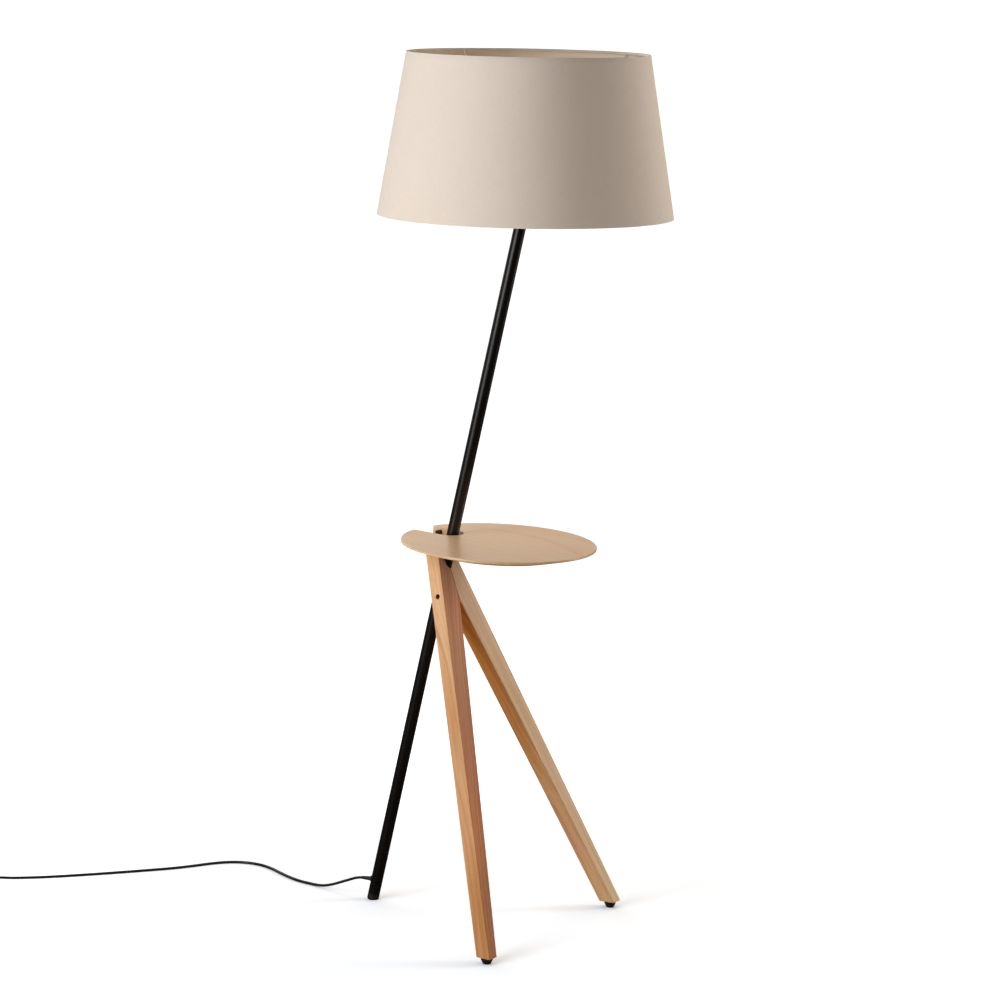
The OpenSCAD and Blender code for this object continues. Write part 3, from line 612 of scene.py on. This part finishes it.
def board():
    bm = bmesh.new()
    # body of revolution with a fine rim, then the slot is cut out of it
    prof = [(0, 0)]
    er = 0.9
    for k in range(7):
        a = math.pi / 2 * k / 6
        prof.append((TR - er + er * math.sin(a), -er + er * math.cos(a)))
    er2 = 0.8
    prof.append((TR, -RIM + er2))
    for k in range(1, 6):
        a = math.radians(75) * k / 5
        prof.append((TR - er2 + er2 * math.cos(a), -RIM + er2 - er2 * math.sin(a)))
    prof += [(TR - BEV + 1.6, -TT + 0.42), (TR - BEV, -TT + 0.06), (TR - BEV - 1.6, -TT), (0, -TT)]
    n = 256
    rings = []
    for k in range(n):
        t = 2 * math.pi * k / n
        rings.append([bm.verts.new(((OFF + r * math.cos(t)) / 1000, r * math.sin(t) / 1000, z / 1000)) for r, z in prof[1:-1]])
    mcount = len(prof) - 2
    for k in range(n):
        q = rings[(k + 1) % n]
        for i in range(mcount - 1):
            bm.faces.new((rings[k][i], rings[k][i + 1], q[i + 1], q[i]))
    bm.faces.new([rings[k][0] for k in range(n)])
    bm.faces.new([rings[k][-1] for k in reversed(range(n))])
    bmesh.ops.recalc_face_normals(bm, faces=bm.faces)
    o = mesh_object("tabletop_oak", bm)
    # full thickness beside the slot, out to the rim
    bm = bmesh.new()
    ra, half = TR - 1.2, SL + 14
    a0 = math.asin(half / ra)
    out = [(0, -half), (0, half)]
    out += [(OFF - ra * math.cos(a0 * (1 - k / 15)), ra * math.sin(a0 * (1 - k / 15))) for k in range(31)]
    lo = [bm.verts.new((x / 1000, y / 1000, -TT / 1000)) for x, y in out]
    hi = [bm.verts.new((x / 1000, y / 1000, -0.002)) for x, y in out]
    bm.faces.new(lo)
    bm.faces.new(hi)
    for i in range(len(out)):
        j = (i + 1) % len(out)
        bm.faces.new((lo[i], lo[j], hi[j], hi[i]))
    bmesh.ops.recalc_face_normals(bm, faces=bm.faces)
    cut(o, mesh_object("tool", bm), "UNION")
    # slot cutter
    bm = bmesh.new()
    rc = 6.0
    end_x = SEND - SL
    cx = OFF - math.sqrt((TR - rc) ** 2 - (SL + rc) ** 2)
    cy = SL + rc
    out = [(end_x, -SL)]
    for k in range(1, 48):
        a = -math.pi / 2 + math.pi * k / 48
        out.append((end_x + SL * math.cos(a), SL * math.sin(a)))
    out.append((end_x, SL))
    tx = OFF - (OFF - cx) * TR / (TR - rc)
    ty = cy * TR / (TR - rc)
    a1 = math.atan2(ty - cy, tx - cx)
    corner = []
    for k in range(0, 13):
        a = -math.pi / 2 + (a1 - 2 * math.pi + math.pi / 2) * k / 12
        corner.append((cx + rc * math.cos(a), cy + rc * math.sin(a)))
    corner += [(cx - 18, cy + 9)]
    out += corner
    out += [(x, -y) for x, y in reversed(corner)]
    lo = [bm.verts.new((x / 1000, y / 1000, -0.03)) for x, y in out]
    hi = [bm.verts.new((x / 1000, y / 1000, 0.03)) for x, y in out]
    bm.faces.new(lo)
    bm.faces.new(hi)
    for i in range(len(out)):
        j = (i + 1) % len(out)
        bm.faces.new((lo[i], lo[j], hi[j], hi[i]))
    bmesh.ops.recalc_face_normals(bm, faces=bm.faces)
    cut(o, mesh_object("tool", bm))
    # ease the slot's own arrises
    bm = bmesh.new()
    bm.from_mesh(o.data)
    bmesh.ops.remove_doubles(bm, verts=bm.verts, dist=1e-6)
    bmesh.ops.dissolve_limit(bm, angle_limit=math.radians(0.4), verts=bm.verts, edges=bm.edges)
    sharp = [ed for ed in bm.edges if len(ed.link_faces) == 2 and ed.calc_face_angle(0) > math.radians(50)]
    bmesh.ops.bevel(bm, geom=sharp, offset=0.0007, segments=2, profile=0.5, affect="EDGES", clamp_overlap=True)
    bm.to_mesh(o.data)
    bm.free()
    for s in (1, -1):
        cut(o, cylinder("tool", Vector((-0.046, s * 0.019, -0.008)), Vector((-0.046, s * 0.031, -0.008)), 0.00405))
    for x, y in ((44, -36), (44, 36), (96, -36), (96, 36)):
        cut(o, cylinder("tool", Vector((x / 1000, y / 1000, -0.02)), Vector((x / 1000, y / 1000, -0.004)), 0.0021, 24))
    smooth_by_angle(o, 30)
    flat_sides(o, 1e-3)

    def grain(c):
        x, y, z = c
        # the figure bows gently, as in a board cut close to the heart
        bow = 0.55 * (x - 0.075) ** 2
        return (x, y + bow, z)

    vector_attribute(o, "grain", grain)
    o.data.transform(T)
    o.data.materials.append(top_wood.m)
    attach(o, "lamp")
    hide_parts("tabletop")
    return o


def dark_curve_and_painted_side_light(k):
    """A darker curved line bows across the board, past the pole, and the board is painted lighter at its slot end than
    at its free end: painted light.
    """
    under = k.p.inputs["Base Color"].links[0].from_socket
    here = k.coords()

    def along(way):
        n = k.node("ShaderNodeVectorMath")
        n.operation = "DOT_PRODUCT"
        n.inputs[1].default_value = way
        k.wire(here, n.inputs[0])
        return k.math("SUBTRACT", n.outputs["Value"], T.translation.dot(way))

    x, y = along(T.col[0].xyz), along(T.col[1].xyz)
    dx = k.math("SUBTRACT", x, 0.078)
    bow = k.math("MULTIPLY", k.math("MULTIPLY", dx, dx), 2.2)
    d = k.math("ADD", k.math("ADD", y, bow), -0.086)
    line_ = k.ramp(k.math("ADD", k.math("MULTIPLY", d, 20.0), 0.5), [(0.30, grey(0)), (0.47, grey(1)), (0.53, grey(1)), (0.86, grey(0.3))])
    ends = k.ramp(k.math("ADD", k.math("MULTIPLY", x, 3.0), 0.5), [(0.42, grey(0)), (0.62, grey(1)), (1.0, grey(1))])
    w = k.math("MULTIPLY", line_, ends)
    # painted light: the board lighter at its slot end, darker towards its free edge
    side = k.mix(k.math("ADD", k.math("MULTIPLY", x, 3.0), 0.35, clamp=True), (1.17, 1.19, 1.24, 1), (0.985, 0.955, 0.96, 1))
    k.color(k.mix(w, k.mix(1.0, under, side, "MULTIPLY"), (0.94, 0.845, 0.83, 1), "MULTIPLY"))


dark_curve_and_painted_side_light(top_wood)
table = board()

# ---------------------------------------------------------------- shade
SX = 291.5
SZ, SH, SR0, SR1 = 1238.0, 272.0, 250.0, 204.5
axis = P(SX, 0, 0)


def shade_r(z):
    return SR0 + (SR1 - SR0) * (z - SZ) / SH


def shade_skin():
    th_ = 0.9
    z0, z1 = SZ, SZ + SH
    prof = []
    steps = 24
    for k in range(steps + 1):
        z = z0 + 0.45 + (SH - 0.9) * k / steps
        prof.append((shade_r(z), z))
    for k in range(1, 6):                         # rolled upper edge
        a = math.pi * k / 6
        prof.append((shade_r(z1) - 0.45 + 0.45 * math.cos(a), z1 - 0.45 + 0.45 * math.sin(a)))
    for k in range(steps, -1, -1):
        z = z0 + 0.45 + (SH - 0.9) * k / steps
        prof.append((shade_r(z) - th_, z))
    for k in range(1, 6):                         # rolled lower edge
        a = math.pi + math.pi * k / 6
        prof.append((shade_r(z0) - 0.45 + 0.45 * math.cos(a), z0 + 0.45 + 0.45 * math.sin(a)))
    o = revolve("shade_linen_skin", [(r / 1000, z / 1000) for r, z in prof], 360, axis)
    smooth_by_angle(o, 60)

    def weave(c):
        a = math.atan2(c.y - axis.y, c.x - axis.x)
        # the joint of the cloth is at the back, away from the camera
        return (a * 0.227, c.z, 0)

    vector_attribute(o, "weave", weave)
    o.data.materials.append(linen_mat)
    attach(o, "lamp")
    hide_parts("shade_fabric")
    return o


skin = shade_skin()


def hem(name, za, zb):
    """Cloth turned in over the rim, inside the backing."""
    prof = []
    steps = 4
    for k in range(steps + 1):
        z = za + (zb - za) * k / steps
        prof.append((shade_r(z) - 1.45, z))
    for k in range(steps, -1, -1):
        z = za + (zb - za) * k / steps
        prof.append((shade_r(z) - 1.58, z))
    o = revolve(name, [(r / 1000, z / 1000) for r, z in prof], 240, axis)
    smooth_by_angle(o, 60)
    vector_attribute(o, "weave", lambda c: (math.atan2(c.y - axis.y, c.x - axis.x) * 0.227, c.z, 0))
    o.data.materials.append(linen_mat)
    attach(o, "lamp")
    return o


hem("upper_hem", SZ + SH - 12, SZ + SH - 0.4)
hem("lower_hem", SZ + 0.4, SZ + 12)

# the cloth's overlap, down the back of the shade
bm = bmesh.new()
seam_a = math.radians(124)
rows = []
for k in range(25):
    z = SZ + 0.6 + (SH - 1.2) * k / 24
    row_ = []
    for j, (da, lift) in enumerate(((0, 0.02), (0.15, 0.22), (0.5, 0.3), (11.0, 0.3), (11.6, 0.22), (12, 0.02))):
        r = shade_r(z) + lift
        a = seam_a + da / 227.0
        row_.append(bm.verts.new((axis.x + r / 1000 * math.cos(a), axis.y + r / 1000 * math.sin(a), z / 1000)))
    rows.append(row_)
for k in range(24):
    for j in range(5):
        bm.faces.new((rows[k][j], rows[k][j + 1], rows[k + 1][j + 1], rows[k + 1][j]))
bmesh.ops.recalc_face_normals(bm, faces=bm.faces)
seam = mesh_object("shade_overlap", bm)
sol = seam.modifiers.new("thick", "SOLIDIFY")
sol.thickness, sol.offset = 0.0002, -1
apply_modifiers(seam)
for p in seam.data.polygons:
    p.use_smooth = True
vector_attribute(seam, "weave", lambda c: (math.atan2(c.y - axis.y, c.x - axis.x) * 0.227 + 0.004, c.z, 0))
seam.data.materials.append(linen_mat)
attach(seam, "lamp")

# ---------------------------------------------------------------- floor, light
FLOOR_SEEN = (0.76, 0.855, 0.995, 1)     # the floor as the camera sees it: nearly blown out near the lamp,
FLOOR_GLOW = (0.49, 0.49, 0.49, 1)       # with shadows that stay faint, and plain white further off
ROOM = [(-150, 8, 10, (2.67, 2.67, 2.67)), (165, 8, 10, (0.28, 0.258, 0.195)), (150, 50, 6, (0.55, 0.3, 0.12))]
bm = bmesh.new()
s = 150
vs = [bm.verts.new(c) for c in ((-s, -s, 0), (s, -s, 0), (s, s, 0), (-s, s, 0))]
bm.faces.new(vs)
floor = mesh_object("floor", bm)
fm = Mat("studio_floor", (0.8, 0.8, 0.8, 1), 0.9, spec=0.0)
nt = fm.nt
lp = nt.nodes.new("ShaderNodeLightPath")
dull = nt.nodes.new("ShaderNodeMix")
dull.data_type = "RGBA"
dull.inputs[6].default_value = (0.67, 0.54, 0.39, 1)      # what the floor sends back on the lamp
dull.inputs[7].default_value = (0.05, 0.045, 0.04, 1)      # and what gloss finds in it
nt.links.new(lp.outputs["Is Glossy Ray"], dull.inputs[0])
seen = nt.nodes.new("ShaderNodeMix")
seen.data_type = "RGBA"
seen.inputs[7].default_value = FLOOR_SEEN
nt.links.new(dull.outputs[2], seen.inputs[6])
nt.links.new(lp.outputs["Is Camera Ray"], seen.inputs[0])
nt.links.new(seen.outputs[2], fm.p.inputs["Base Color"])
place = nt.nodes.new("ShaderNodeNewGeometry")
off = nt.nodes.new("ShaderNodeVectorMath")
off.operation = "LENGTH"
nt.links.new(place.outputs["Position"], off.inputs[0])
far_off = nt.nodes.new("ShaderNodeMapRange")
far_off.interpolation_type = "SMOOTHSTEP"
far_off.inputs["From Min"].default_value = 0.45
far_off.inputs["From Max"].default_value = 1.1
nt.links.new(off.outputs["Value"], far_off.inputs["Value"])
# the glow is dimmed by occlusion round the feet and cord: a painted contact shadow
painted_contact_shadow = nt.nodes.new("ShaderNodeAmbientOcclusion")
painted_contact_shadow.inputs["Color"].default_value = FLOOR_GLOW
painted_contact_shadow.inputs["Distance"].default_value = 0.12
glow = nt.nodes.new("ShaderNodeMix")
glow.data_type = "RGBA"
glow.inputs[7].default_value = (1, 1, 1, 1)
nt.links.new(painted_contact_shadow.outputs["Color"], glow.inputs[6])
nt.links.new(far_off.outputs["Result"], glow.inputs[0])
nt.links.new(glow.outputs[2], fm.p.inputs["Emission Color"])
nt.links.new(lp.outputs["Is Camera Ray"], fm.p.inputs["Emission Strength"])
floor.data.materials.append(fm.m)

CEN = Vector((0.0, 0.0, 0.75))


def direction(phi, el):
    """Away from the lamp, phi degrees round to the camera's right."""
    a, e_ = az + math.radians(phi), math.radians(el)
    return Vector((math.sin(a) * math.cos(e_), -math.cos(a) * math.cos(e_), math.sin(e_)))


# the room: wide soft glows, each round one direction, and white paper where the camera looks past the lamp
world = bpy.data.worlds.new("studio")
bpy.context.scene.world = world
world.use_nodes = True
wn = world.node_tree
bg = next(n for n in wn.nodes if n.type == "BACKGROUND")
tc = wn.nodes.new("ShaderNodeTexCoord")
total = None
for phi, el, power, colour in ROOM:
    dot = wn.nodes.new("ShaderNodeVectorMath")
    dot.operation = "DOT_PRODUCT"
    dot.inputs[1].default_value = direction(phi, el)
    wn.links.new(tc.outputs["Generated"], dot.inputs[0])
    low = wn.nodes.new("ShaderNodeMath")
    low.operation = "MAXIMUM"
    low.inputs[1].default_value = 0
    wn.links.new(dot.outputs["Value"], low.inputs[0])
    pw = wn.nodes.new("ShaderNodeMath")
    pw.operation = "POWER"
    pw.inputs[1].default_value = power
    wn.links.new(low.outputs[0], pw.inputs[0])
    sc_ = wn.nodes.new("ShaderNodeVectorMath")
    sc_.operation = "SCALE"
    sc_.inputs[0].default_value = colour
    wn.links.new(pw.outputs[0], sc_.inputs["Scale"])
    if total is None:
        total = sc_.outputs[0]
    else:
        ad = wn.nodes.new("ShaderNodeVectorMath")
        ad.operation = "ADD"
        wn.links.new(total, ad.inputs[0])
        wn.links.new(sc_.outputs[0], ad.inputs[1])
        total = ad.outputs[0]
lp = wn.nodes.new("ShaderNodeLightPath")
mx = wn.nodes.new("ShaderNodeMix")
mx.data_type = "RGBA"
mx.inputs[7].default_value = (1, 1, 1, 1)
wn.links.new(total, mx.inputs[6])
wn.links.new(lp.outputs["Is Camera Ray"], mx.inputs[0])
wn.links.new(mx.outputs[2], bg.inputs["Color"])
bg.inputs["Strength"].default_value = 1.0

view = bpy.context.scene.view_settings
view.view_transform = "Standard"
view.look = "None"
view.exposure, view.gamma = 0, 1


def softbox(name, phi, dist_, height, wide, tall, power, colour=(1, 1, 1), aim_z=None):
    d = bpy.data.lights.new(name, "AREA")
    d.shape, d.size, d.size_y, d.energy, d.color = "RECTANGLE", wide, tall, power, colour
    o = link(bpy.data.objects.new(name, d))
    a = az + math.radians(phi)
    o.location = (dist_ * math.sin(a), -dist_ * math.cos(a), height)
    o.rotation_mode = "QUATERNION"
    o.rotation_quaternion = (Vector((0, 0, height if aim_z is None else aim_z)) - o.location).to_track_quat("-Z", "Y")
    return o


softbox("key_left", -52, 3.0, 1.2, 0.9, 1.9, 32)
softbox("key_front", -35, 3.0, 1.2, 0.6, 1.9, 17)
softbox("key_side", -75, 3.0, 1.2, 0.9, 1.9, 3)
softbox("overhead_left", -60, 2.9, 2.9, 1.6, 1.4, 28, (1, 1, 1), 0.9)
softbox("fill_right", 100, 3.2, 1.3, 1.0, 2.0, 57, (1, 1, 0.99))
softbox("overhead_back", 160, 1.5, 3.0, 2.0, 1.2, 15, (1, 0.8, 0.4), 0.9)
